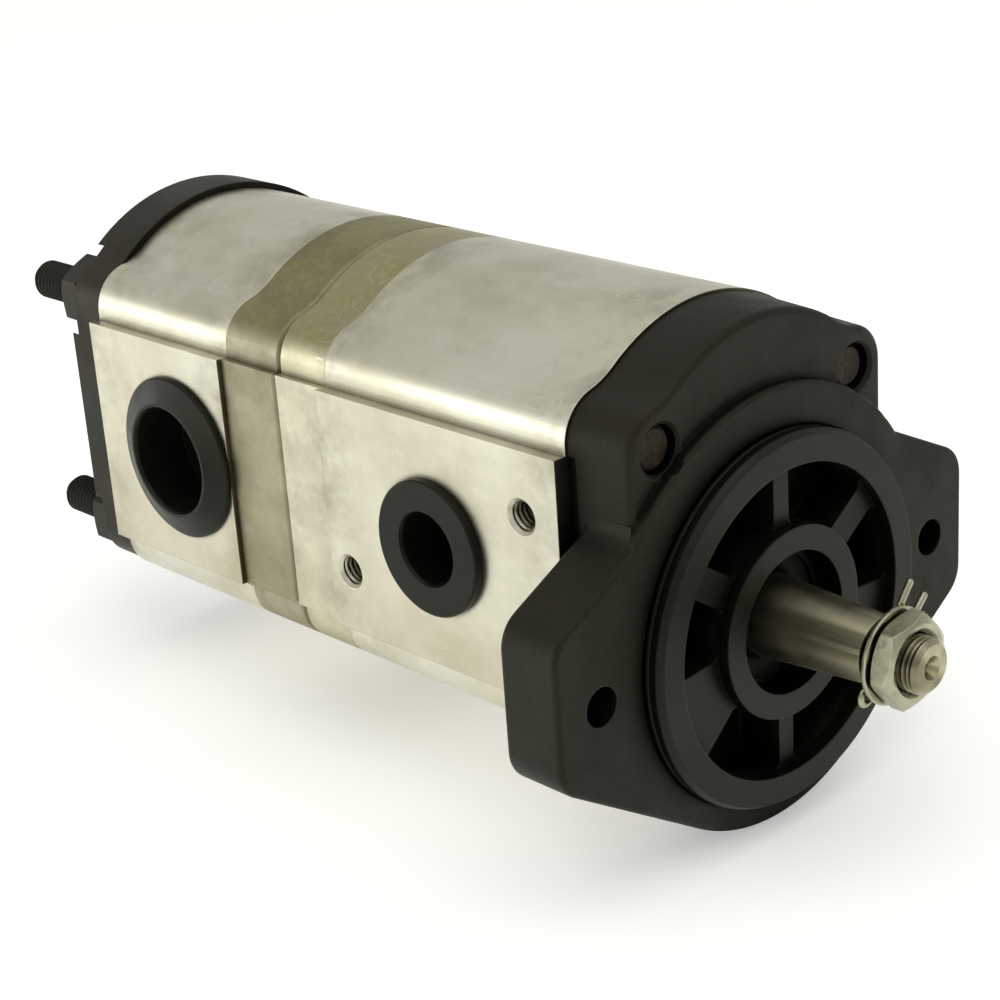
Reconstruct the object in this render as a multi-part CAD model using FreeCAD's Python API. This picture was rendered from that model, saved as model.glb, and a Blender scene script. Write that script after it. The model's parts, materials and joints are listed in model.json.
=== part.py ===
"""Tandem gear pump: a front and a rear pair of gears, clamped between two cast covers.

Millimetres. X runs along the drive shaft and out of the pump, Z is up, and the origin
is where the drive shaft's axis crosses the mounting face of the flange.
"""
import FreeCAD
import Part
import math
import os

os.makedirs("parts", exist_ok=True)

# Stations along X, from the front of the pump to the back
PILOT_X = 4.8
MOUNT_X = 0.0
STUD_FACE_X = -2.7
JOINT_1_X = -18.8  # front cover to front body
JOINT_2_X = -92.6  # front body to front plate
JOINT_3_X = -108.8  # front plate to rear plate
JOINT_4_X = -128.0  # rear plate to rear body
JOINT_5_X = -179.2  # rear body to rear cover
NUT_SEAT_X = -190.5
REAR_FACE_X = -193.6
STUD_END_X = -218.5

# Gears
MODULE = 2.7
TEETH = 12
PITCH_R = MODULE * TEETH / 2
PRESSURE_ANGLE = math.radians(25)
BASE_R = PITCH_R * math.cos(PRESSURE_ANGLE)
TIP_R = 18.75
ROOT_R = 13.0
BACKLASH = 0.24
DRIVEN_Z = 2 * PITCH_R
MID_Z = DRIVEN_Z / 2
CAVITY_R = 19.1
JOURNAL_R = 9.0
AXIAL_GAP = 0.05
FRONT_BLOCK = 20.0
REAR_BLOCK = 18.0

# Outline of the sections
ARC_R = 45.7
ARC_OFFSET = 5.3  # centres of the top and bottom arcs above and below mid-height
LOBE_R = 10.3
BLEND_R = 20.0
STUD_Y = 30.5
STUD_DZ = 29.8
PAD_Y = 44.0
PLATE_PAD_Y = 42.8
PAD_TOP_Z = 44.3
PAD_BOTTOM_Z = -11.8
COVER_ARC_R = 45.2
COVER_LOBE_R = 9.8
COVER_DRAFT = 0.9  # how much smaller the front cover's outline is at its front
COVER_EDGE_R = 1.6
REAR_COVER_ARC_R = 47.3
REAR_COVER_LOBE_R = 9.8
REAR_COVER_EDGE_R = 0.7
EDGE_CHAMFER = 0.8

# Studs, nuts and dowels
STUD_R = 4.9
STUD_HOLE_R = 5.2
STUD_PITCH = 1.5
STUD_THREAD_DEPTH = 0.7
STUD_CHAMFER = 0.9
STUD_TIP = ((0.0, 2.4), (0.6, 1.3), (2.0, 0.7))  # (distance from the end, cut off the radius)
STUD_HOLE_SINK = 0.8
BLIND_GAP = 0.5
UPPER_STUD_FRONT_X = -4.6
LOWER_STUD_FRONT_X = -5.0
NUT_FLATS = 16.8
NUT_HEIGHT = 7.6
NUT_CHAMFER = 0.5
NUT_CORNER = 30.0
NUT_SINK = 0.9
THREAD_GAP = 0.02
SPOT_FACE_R = 12.5
DOWEL_R = 3.0
DOWEL_HALF = 6.0
DOWEL_END_GAP = 0.2
DOWEL_Y = 16.0
DOWEL_DZ = 42.0

# Mounting flange and pilot
PILOT_R = 41.275
PILOT_CHAMFER_X = 1.5
PILOT_CHAMFER_R = 0.9
BOSS_R = 50.5
BOSS_EDGE_R = 1.0
FLANGE_UPPER_R = 44.4
FLANGE_LOWER_R = 47.4
FLANGE_BACK_X = -15.5
EAR_Y = 65.2
EAR_CORNER_R = 8.0
EAR_TOP_Z = 12.0
EAR_BOTTOM_Z = -10.1
EAR_FILLET_R = 5.0  # between the upper face of an ear and the side of the cover
EAR_EDGE_R = 1.2
BOLT_Y = 53.2
BOLT_HOLE_R = 4.25
RELIEF_X = 2.2
RELIEF_Y = 39.4

# Recess inside the pilot, with the seal's retaining ring
RING_R = 34.4
HUB_R = 21.1
HUB_BORE_R = 15.64
RIB_TOP_X = 1.8
POCKET_FLOOR_X = -9.0
SEAL_SEAT_X = -10.0
SHAFT_HOLE_R = 9.6
NARROW_RIB = 4.7
WIDE_RIB = 7.0
RIBS = ((34.0, WIDE_RIB), (90.0, NARROW_RIB), (146.0, WIDE_RIB), (270.0, NARROW_RIB))
STUD_WEBS = ((184.0, 221.0), (319.0, 356.0))
POCKET_FILLET = 1.5
RETAINER_X = (-2.4, -1.1)
RETAINER_GROOVE_R = 16.5
RETAINER_INNER_R = 14.0
RETAINER_GAP = 3.5
RETAINER_FIT = 0.1

# Small O-ring at the foot of the pilot
O_RING_CENTRE_X = 0.7
O_RING_CENTRE_R = 40.4
O_RING_SECTION_R = 0.8
O_RING_GROOVE_X = (-0.4, 1.7)
O_RING_GROOVE_R = (39.55, 41.6)

# Shaft seal: its section as (x, radius)
LIP_SEAL = ((-9.8, HUB_BORE_R), (-2.6, HUB_BORE_R), (-2.6, 11.6), (-3.4, 10.0), (-4.4, 9.04),
            (-5.4, 9.04), (-6.4, 10.4), (-6.4, 13.4), (-9.8, 13.4))

# Drive shaft in front of the seal
TAPER_START_X = -1.0
TAPER_END_X = 27.0
TAPER_END_R = 7.25
THREAD_R = 6.0
THREAD_PITCH = 1.25
THREAD_DEPTH = 0.6
THREAD_RIDGE = (0.5, 0.62)  # flat top of a thread's ridge, as shares of the pitch
SHAFT_END_X = 39.6
SHAFT_END_R = 4.9
SHAFT_END_CHAMFER = 1.0
CENTRE_HOLE_R = 2.55
CENTRE_DRILL_R = 1.3
CENTRE_HOLE_DEPTH = 6.0
CENTRE_CONE_DEPTH = 2.2
WASHER_X = 29.8
WASHER_THICK = 1.1
WASHER_R = 10.4
WASHER_HOLE_R = 6.3
WASHER_EDGE_R = 0.3
SHAFT_NUT_FLATS = 18.0
SHAFT_NUT_HEIGHT = 5.4
SHAFT_NUT_CORNER = 11.0
SHAFT_NUT_CHAMFER = 0.8
SHAFT_NUT_SINK = 1.3
SPLIT_PIN_X = 28.35
SPLIT_PIN_R = 1.3
SPLIT_PIN_HOLE_R = 1.4
SPLIT_PIN_ANGLE = 46.0
SPLIT_PIN_EYE_Y = -10.0
SPLIT_PIN_EYE_R = 1.5
SPLIT_PIN_WIRE_R = 0.75
SPLIT_PIN_SHANK_END = 6.5
SPLIT_PIN_LEG = ((5.5, 0.55), (10.2, 3.0), (14.6, 3.3))  # (along the pin, off its axis)
KEY_X = 13.5
KEY_ANGLE = -30.0
KEY_R = 8.0
KEY_WIDTH = 4.0
KEY_TOP_R = 9.7
KEY_DEPTH = 5.0

# Splined coupling between the two drive shafts
SPLINE_TEETH = 9
SPLINE_MINOR_R = 7.3
SPLINE_MAJOR_R = 8.7
SPLINE_WIDTH = 2.4
SPLINE_GAP = 0.3
SLEEVE_R = 12.4
SLEEVE_BORE_R = 12.9
SLEEVE_CHAMFER = 1.0
SLEEVE_X = (-123.5, -97.0)
SLEEVE_ROOM_X = (-124.5, -96.0)
FRONT_SHAFT_END_X = -109.0
REAR_SHAFT_FRONT_X = -111.0
SPLINE_FRONT_X = -96.6
SPLINE_REAR_X = -124.0
SHAFT_END_GAP = 0.5
SHAFT_BREAK = 0.5

# Section seals, between each pair of joined parts
SEAL_OUTER_R = 24.6
SEAL_INNER_R = 22.4
SEAL_DEPTH = 1.8

# Pressure seals on the backs of the bearing blocks
BALANCE_OUTER_R = 17.3
BALANCE_INNER_R = 15.3
BALANCE_DEPTH = 1.6
BLOCK_R = 19.0
BUSH_R = 10.5
BUSH_BORE_R = 9.03

# Ports, tapped holes beside them and their transport plugs
FRONT_PORT_X = -57.2
REAR_PORT_X = -147.6
FRONT_INLET_R = 10.0
FRONT_OUTLET_R = 8.0
REAR_INLET_R = 15.5
REAR_OUTLET_R = 11.0
REAR_PORT_FLOOR_Y = 27.0
REAR_PASSAGE_R = 7.0
REAR_INLET_PASSAGE_X = -153.65
REAR_OUTLET_PASSAGE_X = -151.1
PORT_BREAK_Y = 9.0
TAPPED_R = 3.3
TAPPED_SINK_R = 4.15
TAPPED_DEPTH = 17.0
TAPPED_SPACING = 63.2
TAPPED_ANGLE = math.radians(25.5)
TAPPED_MID_X = -57.8
TAPPED_POINT = 2.0
PLUG_DEPTH = 12.0
PLUG_GAP = 0.3
PLUG_NOSE = 0.8
PLUG_BREAK = 0.4
PLUG_LIP = 0.7
PLUG_DRAFT = 0.6
PLUG_FLOOR = 1.6
# Plugs: name, side, port station, port radius, flange radius, hollow radius, edge, rise
PLUGS = (("front_inlet_plug", -1, FRONT_PORT_X, FRONT_INLET_R, 15.4, 8.6, 2.2, 0.0),
         ("rear_inlet_plug", -1, REAR_PORT_X, REAR_INLET_R, 20.0, 13.5, 1.4, 2.2),
         ("front_outlet_plug", 1, FRONT_PORT_X, FRONT_OUTLET_R, 13.0, 6.6, 2.2, 0.0),
         ("rear_outlet_plug", 1, REAR_PORT_X, REAR_OUTLET_R, 15.4, 9.4, 1.4, 1.6))

FLANK_STEPS = 5
FIRST_TOOTH = 90.0
OVERRUN = 1.0  # how far a tool runs past the face it opens
STATION_TOLERANCE = 0.01


# ---------------------------------------------------------------- basic shapes

def vec(x, y, z):
    """Vector in the pump's frame."""
    return FreeCAD.Vector(x, y, z)


def rod_x(radius, x0, x1, y=0.0, z=0.0):
    """Cylinder along X from station x0 forward to x1."""
    return Part.makeCylinder(radius, x1 - x0, vec(x0, y, z), vec(1, 0, 0))


def cone_x(r0, r1, x0, x1, y=0.0, z=0.0):
    """Cone along X, radius r0 at x0 and r1 at x1."""
    return Part.makeCone(r0, r1, x1 - x0, vec(x0, y, z), vec(1, 0, 0))


def rod_y(radius, y0, y1, x, z):
    """Cylinder along Y from y0 up to y1."""
    return Part.makeCylinder(radius, y1 - y0, vec(x, y0, z), vec(0, 1, 0))


def block(x0, x1, y0, y1, z0, z1):
    """Box between the six planes."""
    return Part.makeBox(x1 - x0, y1 - y0, z1 - z0, vec(x0, y0, z0))


def spun(points, y=0.0, z=0.0):
    """Solid of revolution about a line along X, from its (x, radius) outline."""
    corners = [vec(x, radius, 0) for x, radius in points]
    face = Part.Face(Part.makePolygon(corners + corners[:1]))
    solid = face.revolve(vec(0, 0, 0), vec(1, 0, 0), 360)
    solid.translate(vec(0, y, z))
    return solid


def joined(shapes):
    """One clean solid from several that touch or overlap."""
    return shapes[0].multiFuse(shapes[1:]).removeSplitter()


def turned(shape, degrees):
    """Copy of the shape turned about the drive axis, from +Y towards +Z."""
    copy = shape.copy()
    copy.rotate(vec(0, 0, 0), vec(1, 0, 0), degrees)
    return copy


def facing(shape, side, x, z):
    """Copy of a shape built along +X, pointing out of the side -1 (-Y) or 1 (+Y)."""
    copy = shape.copy()
    copy.rotate(vec(0, 0, 0), vec(0, 0, 1), 90 * side)
    copy.translate(vec(x, 0, z))
    return copy


def save(name, shape):
    """Write one node of the assembly."""
    solids = shape.Solids
    result = solids[0] if len(solids) == 1 else Part.makeCompound(solids)
    result.exportStep("parts/" + name + ".step")
    box = result.BoundBox
    print(name, len(solids), result.isValid(), round(result.Volume), [
        round(v, 1) for v in (box.XMin, box.XMax, box.YMin, box.YMax, box.ZMin, box.ZMax)])


# ------------------------------------------------------------- section outline

def arc_between(centre, radius, start, end):
    """Shorter arc of a circle in a plane across X."""
    middle = (start - centre) + (end - centre)
    middle.normalize()
    return Part.Arc(start, centre + middle * radius, end).toShape()


def quadrant(arc_r, lobe_r, pad_y):
    """Edges of the upper +Y quarter of an outline, measured from mid-height."""
    arc_c = vec(0, 0, ARC_OFFSET)
    lobe_c = vec(0, STUD_Y, STUD_DZ)
    reach = lobe_c - arc_c
    far = arc_r + BLEND_R
    near = lobe_r + BLEND_R
    along = (far ** 2 - near ** 2 + reach.Length ** 2) / (2 * reach.Length)
    across = math.sqrt(far ** 2 - along ** 2)
    unit = reach * (1 / reach.Length)
    blend_c = arc_c + unit * along + vec(0, -unit.z, unit.y) * across
    on_arc = arc_c + (blend_c - arc_c) * (arc_r / far)
    on_lobe = lobe_c + (blend_c - lobe_c) * (lobe_r / near)
    top = vec(0, 0, ARC_OFFSET + arc_r)
    side = vec(0, STUD_Y + lobe_r, STUD_DZ)
    edges = [arc_between(arc_c, arc_r, top, on_arc),
             arc_between(blend_c, BLEND_R, on_arc, on_lobe),
             arc_between(lobe_c, lobe_r, on_lobe, side)]
    corners = [side]
    if pad_y:
        pad_z = PAD_TOP_Z - MID_Z
        corners += [vec(0, side.y, pad_z), vec(0, pad_y, pad_z), vec(0, pad_y, 0)]
    else:
        corners.append(vec(0, side.y, 0))
    edges += [Part.makeLine(a, b) for a, b in zip(corners, corners[1:])]
    return edges


def outline(x, arc_r, lobe_r, pad_y=None):
    """Closed outline of a section at a station."""
    quarter = Part.makeCompound(quadrant(arc_r, lobe_r, pad_y))
    half = quarter.Edges + quarter.mirror(vec(0, 0, 0), vec(0, 1, 0)).Edges
    other = Part.makeCompound(half).mirror(vec(0, 0, 0), vec(0, 0, 1)).Edges
    wire = Part.Wire(Part.__sortEdges__(half + other))
    wire.translate(vec(x, 0, MID_Z))
    return wire


def section(x0, x1, arc_r, lobe_r, pad_y=None):
    """Prism of the pump's outline between two stations."""
    face = Part.Face(outline(x0, arc_r, lobe_r, pad_y))
    return face.extrude(vec(x1 - x0, 0, 0)).removeSplitter()


def drafted_section(x0, x1, arc_r, lobe_r, draft):
    """Cast outline that is smaller by the draft, all round, at its front."""
    wires = [outline(x0, arc_r, lobe_r), outline(x1, arc_r - draft, lobe_r - draft)]
    return Part.makeLoft(wires, True, True)


def rim_edges(shape, x):
    """Edges that lie in the plane across X at this station."""
    return [e for e in shape.Edges if abs(e.BoundBox.XMin - x) < STATION_TOLERANCE
            and abs(e.BoundBox.XMax - x) < STATION_TOLERANCE]


def stud_places():
    """Axes of the four studs as (y, z, is_upper)."""
    return [(side * STUD_Y, MID_Z + level * STUD_DZ, level > 0)
            for level in (1, -1) for side in (-1, 1)]


def stud_holes(radius, x0, x1):
    """Clearance holes for the four studs."""
    return [rod_x(radius, x0, x1, y, z) for y, z, _ in stud_places()]


def dowel_rods(radius, joint_x, half):
    """Two dowel-sized rods across a joint."""
    return [rod_x(radius, joint_x - half, joint_x + half, side * DOWEL_Y,
                  MID_Z - side * DOWEL_DZ) for side in (-1, 1)]


def racetrack(radius, x0, x1):
    """Prism around both gear axes."""
    return joined([rod_x(radius, x0, x1), rod_x(radius, x0, x1, z=DRIVEN_Z),
                   block(x0, x1, -radius, radius, 0, DRIVEN_Z)])


def figure_eight(radius, x0, x1):
    """Two overlapping discs on the gear axes."""
    return joined([rod_x(radius, x0, x1), rod_x(radius, x0, x1, z=DRIVEN_Z)])


def seal_ring(x0, x1, outer=SEAL_OUTER_R, inner=SEAL_INNER_R):
    """Ring between two racetracks."""
    return racetrack(outer, x0, x1).cut(racetrack(inner, x0, x1))


# ---------------------------------------------------------------------- covers

def flange_plate():
    """Two-bolt flange: a disc with an ear at each side."""
    corners = [(side * (EAR_Y - EAR_CORNER_R), z) for side in (-1, 1)
               for z in (EAR_TOP_Z, EAR_BOTTOM_Z)]
    pieces = []
    for disc_r, level in ((FLANGE_UPPER_R, 1), (FLANGE_LOWER_R, -1)):
        ear_z = EAR_TOP_Z if level > 0 else EAR_BOTTOM_Z
        disc = rod_x(disc_r, FLANGE_BACK_X, MOUNT_X)
        reach = 2 * EAR_Y
        pieces.append(disc.common(block(FLANGE_BACK_X, MOUNT_X, -reach, reach,
                                        min(0, level * reach), max(0, level * reach))))
        for side in (-1, 1):
            pieces.append(ear_bridge(disc_r, side, ear_z, level))
    pieces += [rod_x(EAR_CORNER_R, FLANGE_BACK_X, MOUNT_X, y, z) for y, z in corners]
    pieces.append(block(FLANGE_BACK_X, MOUNT_X, -EAR_Y, EAR_Y, EAR_BOTTOM_Z, EAR_TOP_Z))
    return joined(pieces)


def ear_bridge(disc_r, side, ear_z, level):
    """Wedge between the disc and an ear corner, along their common tangent."""
    ear_y = EAR_Y - EAR_CORNER_R
    distance = math.hypot(ear_y, ear_z)
    angle = math.atan2(abs(ear_z), ear_y) + math.acos((disc_r - EAR_CORNER_R) / distance)
    normal = vec(0, side * math.cos(angle), level * math.sin(angle))
    centre = vec(FLANGE_BACK_X, side * ear_y, ear_z)
    hub = vec(FLANGE_BACK_X, 0, 0)
    corners = [hub, hub + normal * disc_r, centre + normal * EAR_CORNER_R, centre,
               vec(FLANGE_BACK_X, side * ear_y, 0), hub]
    return Part.Face(Part.makePolygon(corners)).extrude(vec(MOUNT_X - FLANGE_BACK_X, 0, 0))


def ear_fillet(side):
    """Concave blend between the side of the cover and the upper face of an ear."""
    flank_y = STUD_Y + COVER_LOBE_R - COVER_DRAFT / 2
    corner_y = EAR_Y - EAR_CORNER_R
    distance = math.hypot(corner_y, EAR_TOP_Z)
    slope = (math.pi / 2 - math.atan2(EAR_TOP_Z, corner_y)
             - math.acos((FLANGE_UPPER_R - EAR_CORNER_R) / distance))
    crease = vec(0, flank_y, (FLANGE_UPPER_R - flank_y * math.sin(slope)) / math.cos(slope))
    down = vec(0, math.cos(slope), -math.sin(slope))
    run = EAR_FILLET_R * math.tan((math.pi / 2 - slope) / 2)
    high = crease + vec(0, 0, run)
    low = crease + down * run
    centre = high + vec(0, EAR_FILLET_R, 0)
    inside = vec(0, STUD_Y, EAR_TOP_Z)
    edges = [arc_between(centre, EAR_FILLET_R, high, low), Part.makeLine(low, inside),
             Part.makeLine(inside, vec(0, STUD_Y, high.z)),
             Part.makeLine(vec(0, STUD_Y, high.z), high)]
    face = Part.Face(Part.Wire(edges))
    back = FLANGE_BACK_X + EAR_EDGE_R
    solid = face.extrude(vec(STUD_FACE_X - back, 0, 0))
    solid.translate(vec(back, 0, 0))
    return solid if side > 0 else solid.mirror(vec(0, 0, 0), vec(0, 1, 0))


def pilot_disc():
    """Round pilot with its lead-in chamfer."""
    return spun([(STUD_FACE_X, 0), (STUD_FACE_X, PILOT_R), (PILOT_X - PILOT_CHAMFER_X, PILOT_R),
                 (PILOT_X, PILOT_R - PILOT_CHAMFER_R), (PILOT_X, 0)])


def o_ring_groove():
    """Groove at the foot of the pilot, with a shallow relief in the mounting face."""
    inner_r, outer_r = O_RING_GROOVE_R
    return rod_x(outer_r, *O_RING_GROOVE_X).cut(rod_x(inner_r, *O_RING_GROOVE_X))


def web_sector(start, end, x0, x1):
    """Sector of the recess between two angles, out to the ring."""
    reach = RING_R * 2
    corners = [vec(x0, 0, 0)]
    for angle in (start, (start + end) / 2, end):
        turn = math.radians(angle)
        corners.append(vec(x0, reach * math.cos(turn), reach * math.sin(turn)))
    corners.append(vec(x0, 0, 0))
    return Part.Face(Part.makePolygon(corners)).extrude(vec(x1 - x0, 0, 0))


def recess_pockets():
    """The pockets between the ribs, with rounded feet."""
    ring = rod_x(RING_R, POCKET_FLOOR_X, RIB_TOP_X).cut(
        rod_x(HUB_R, POCKET_FLOOR_X, RIB_TOP_X))
    walls = [turned(block(POCKET_FLOOR_X, RIB_TOP_X, 0, RING_R + OVERRUN, -width / 2, width / 2),
                    angle) for angle, width in RIBS]
    walls += [web_sector(a, b, POCKET_FLOOR_X, RIB_TOP_X) for a, b in STUD_WEBS]
    pockets = ring.cut(joined(walls)).Solids
    rounded = []
    for pocket in pockets:
        edges = [e for e in pocket.Edges
                 if abs(e.BoundBox.XMax - RIB_TOP_X) > STATION_TOLERANCE
                 or e.BoundBox.XLength > STATION_TOLERANCE]
        rounded.append(pocket.makeFillet(POCKET_FILLET, edges))
    return rounded


def front_cover():
    """Cast front cover with the mounting flange, pilot, hub and recess."""
    shell = drafted_section(JOINT_1_X, STUD_FACE_X, COVER_ARC_R, COVER_LOBE_R, COVER_DRAFT)
    shell = shell.makeFillet(COVER_EDGE_R, rim_edges(shell, STUD_FACE_X))
    boss = rod_x(BOSS_R, STUD_FACE_X, MOUNT_X)
    boss = boss.makeFillet(BOSS_EDGE_R, rim_edges(boss, MOUNT_X))
    ears = flange_plate()
    ears = ears.makeFillet(EAR_EDGE_R,
                           rim_edges(ears, MOUNT_X) + rim_edges(ears, FLANGE_BACK_X))
    sky = block(STUD_FACE_X, MOUNT_X, -EAR_Y, EAR_Y, EAR_TOP_Z, EAR_Y)
    cover = joined([shell, boss.common(sky), ears, ear_fillet(-1), ear_fillet(1),
                    pilot_disc()])
    cuts = [rod_x(RING_R, RIB_TOP_X, PILOT_X).cut(rod_x(HUB_R, RIB_TOP_X, PILOT_X))]
    cuts += recess_pockets()
    cuts.append(rod_x(HUB_BORE_R, SEAL_SEAT_X, PILOT_X))
    cuts.append(rod_x(SHAFT_HOLE_R, JOINT_1_X, SEAL_SEAT_X))
    cuts.append(rod_x(RETAINER_GROOVE_R, *RETAINER_X))
    cuts.append(o_ring_groove())
    cuts += [rod_x(BOLT_HOLE_R, FLANGE_BACK_X, MOUNT_X, side * BOLT_Y) for side in (-1, 1)]
    cuts += cover_stud_holes()
    cuts += dowel_rods(DOWEL_R, JOINT_1_X, DOWEL_HALF)
    cuts += [block(JOINT_1_X, JOINT_1_X + RELIEF_X, min(side * RELIEF_Y, side * EAR_Y),
                   max(side * RELIEF_Y, side * EAR_Y), PAD_BOTTOM_Z, PAD_TOP_Z)
             for side in (-1, 1)]
    return cover.cut(joined_tools(cuts))


def joined_tools(tools):
    """Cutting tools as one compound."""
    return tools[0].multiFuse(tools[1:])


def cover_stud_holes():
    """Upper holes run through to the front, lower ones end blind."""
    holes = []
    for y, z, upper in stud_places():
        if upper:
            holes.append(rod_x(STUD_HOLE_R, JOINT_1_X, MOUNT_X, y, z))
            holes.append(cone_x(STUD_HOLE_R, STUD_HOLE_R + STUD_HOLE_SINK,
                                STUD_FACE_X - STUD_HOLE_SINK, STUD_FACE_X, y, z))
        else:
            holes.append(rod_x(STUD_HOLE_R, JOINT_1_X, LOWER_STUD_FRONT_X + BLIND_GAP, y, z))
    return holes


def rear_cover():
    """Cast rear cover with a round spot face under each nut."""
    cover = section(REAR_FACE_X, JOINT_5_X, REAR_COVER_ARC_R, REAR_COVER_LOBE_R)
    cover = cover.makeFillet(REAR_COVER_EDGE_R, rim_edges(cover, REAR_FACE_X))
    cuts = stud_holes(STUD_HOLE_R, REAR_FACE_X, JOINT_5_X)
    cuts += stud_holes(SPOT_FACE_R, REAR_FACE_X - OVERRUN, NUT_SEAT_X)
    cuts += dowel_rods(DOWEL_R, JOINT_5_X, DOWEL_HALF)
    return cover.cut(joined_tools(cuts))


# ---------------------------------------------------------------------- bodies

def tapped_hole(side, x, z):
    """Tapped hole from the port pad inwards, at its minor diameter."""
    bottom = PAD_Y - TAPPED_DEPTH
    hole = spun([(bottom - TAPPED_POINT, 0), (bottom, TAPPED_R),
                 (PAD_Y - (TAPPED_SINK_R - TAPPED_R), TAPPED_R),
                 (PAD_Y, TAPPED_SINK_R), (PAD_Y, 0)])
    return facing(hole, side, x, z)


def tapped_places(side):
    """Two holes on a slant, one at each side of the port."""
    reach = TAPPED_SPACING / 2
    return [(side, TAPPED_MID_X + end * reach * math.cos(TAPPED_ANGLE),
             MID_Z + end * reach * math.sin(TAPPED_ANGLE)) for end in (-1, 1)]


def front_body():
    """Front section body."""
    body = section(JOINT_2_X, JOINT_1_X, ARC_R, LOBE_R, PAD_Y)
    cuts = [figure_eight(CAVITY_R, JOINT_2_X, JOINT_1_X)]
    cuts += stud_holes(STUD_HOLE_R, JOINT_2_X, JOINT_1_X)
    cuts.append(rod_y(FRONT_INLET_R, -PAD_Y, -PORT_BREAK_Y, FRONT_PORT_X, MID_Z))
    cuts.append(rod_y(FRONT_OUTLET_R, PORT_BREAK_Y, PAD_Y, FRONT_PORT_X, MID_Z))
    cuts += [tapped_hole(*place) for side in (-1, 1) for place in tapped_places(side)]
    cuts += dowel_rods(DOWEL_R, JOINT_1_X, DOWEL_HALF)
    cuts += dowel_rods(DOWEL_R, JOINT_2_X, DOWEL_HALF)
    cuts.append(seal_ring(JOINT_1_X - SEAL_DEPTH, JOINT_1_X))
    cuts.append(seal_ring(JOINT_2_X, JOINT_2_X + SEAL_DEPTH))
    return body.cut(joined_tools(cuts))


def rear_body():
    """Rear section body."""
    body = section(JOINT_5_X, JOINT_4_X, ARC_R, LOBE_R, PAD_Y)
    cuts = [figure_eight(CAVITY_R, JOINT_5_X, JOINT_4_X)]
    cuts += stud_holes(STUD_HOLE_R, JOINT_5_X, JOINT_4_X)
    for side, bore_r, passage_x in ((-1, REAR_INLET_R, REAR_INLET_PASSAGE_X),
                                    (1, REAR_OUTLET_R, REAR_OUTLET_PASSAGE_X)):
        outer = sorted((side * REAR_PORT_FLOOR_Y, side * PAD_Y))
        inner = sorted((side * PORT_BREAK_Y, side * PAD_Y))
        cuts.append(rod_y(bore_r, outer[0], outer[1], REAR_PORT_X, MID_Z))
        cuts.append(rod_y(REAR_PASSAGE_R, inner[0], inner[1], passage_x, MID_Z))
    cuts += dowel_rods(DOWEL_R, JOINT_4_X, DOWEL_HALF)
    cuts += dowel_rods(DOWEL_R, JOINT_5_X, DOWEL_HALF)
    cuts.append(seal_ring(JOINT_4_X - SEAL_DEPTH, JOINT_4_X))
    cuts.append(seal_ring(JOINT_5_X, JOINT_5_X + SEAL_DEPTH))
    return body.cut(joined_tools(cuts))


def plate(x0, x1, chamfer_x, room):
    """Plate between the sections, with room for the coupling sleeve."""
    body = section(x0, x1, ARC_R, LOBE_R, PLATE_PAD_Y)
    body = body.makeChamfer(EDGE_CHAMFER, rim_edges(body, chamfer_x))
    cuts = stud_holes(STUD_HOLE_R, x0, x1)
    cuts.append(rod_x(SHAFT_HOLE_R, x0, x1))
    cuts.append(rod_x(SLEEVE_BORE_R, *room))
    for joint_x in (x0, x1):
        cuts += dowel_rods(DOWEL_R, joint_x, DOWEL_HALF)
    return body.cut(joined_tools(cuts))


def front_plate():
    """Front plate, next to the front body."""
    return plate(JOINT_3_X, JOINT_2_X, JOINT_3_X, (JOINT_3_X, SLEEVE_ROOM_X[1]))


def rear_plate():
    """Rear plate, with the seal groove on its front face."""
    body = plate(JOINT_4_X, JOINT_3_X, JOINT_3_X, (SLEEVE_ROOM_X[0], JOINT_3_X))
    return body.cut(seal_ring(JOINT_3_X - SEAL_DEPTH, JOINT_3_X))


# ----------------------------------------------------------------------- gears

def tooth_half_angle(radius):
    """Half of the angle that a tooth fills at this radius."""
    at_pitch = (math.pi * MODULE / 2 - BACKLASH) / (2 * PITCH_R)
    if radius <= BASE_R:
        angle = 0.0
    else:
        angle = math.acos(BASE_R / radius)
    return (at_pitch + math.tan(PRESSURE_ANGLE) - PRESSURE_ANGLE
            - math.tan(angle) + angle)


def polar(x, radius, angle):
    """Point of a plane across X, angle from +Y towards +Z."""
    return vec(x, radius * math.cos(angle), radius * math.sin(angle))


def flank(x, centre, side):
    """One flank, from the root up to the tip."""
    radii = [BASE_R + (TIP_R - BASE_R) * i / FLANK_STEPS for i in range(FLANK_STEPS + 1)]
    points = [polar(x, r, centre + side * tooth_half_angle(r)) for r in radii]
    root = polar(x, ROOT_R, centre + side * tooth_half_angle(ROOT_R))
    curve = Part.BSplineCurve()
    curve.interpolate(points)
    return root, points[-1], [Part.makeLine(root, points[0]), curve.toShape()]


def gear_prism(x0, x1, first_tooth):
    """Spur gear on the drive axis, one tooth centred on the given angle in degrees."""
    edges = []
    pitch = 2 * math.pi / TEETH
    for i in range(TEETH):
        centre = math.radians(first_tooth) + i * pitch
        root_a, tip_a, side_a = flank(x0, centre, -1)
        root_b, tip_b, side_b = flank(x0, centre, 1)
        next_root = flank(x0, centre + pitch, -1)[0]
        gap_middle = polar(x0, ROOT_R, centre + pitch / 2)
        edges += side_a + side_b
        edges.append(Part.Arc(tip_a, polar(x0, TIP_R, centre), tip_b).toShape())
        edges.append(Part.Arc(root_b, gap_middle, next_root).toShape())
    wire = Part.Wire(Part.__sortEdges__(edges))
    return Part.Face(wire).extrude(vec(x1 - x0, 0, 0))


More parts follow.
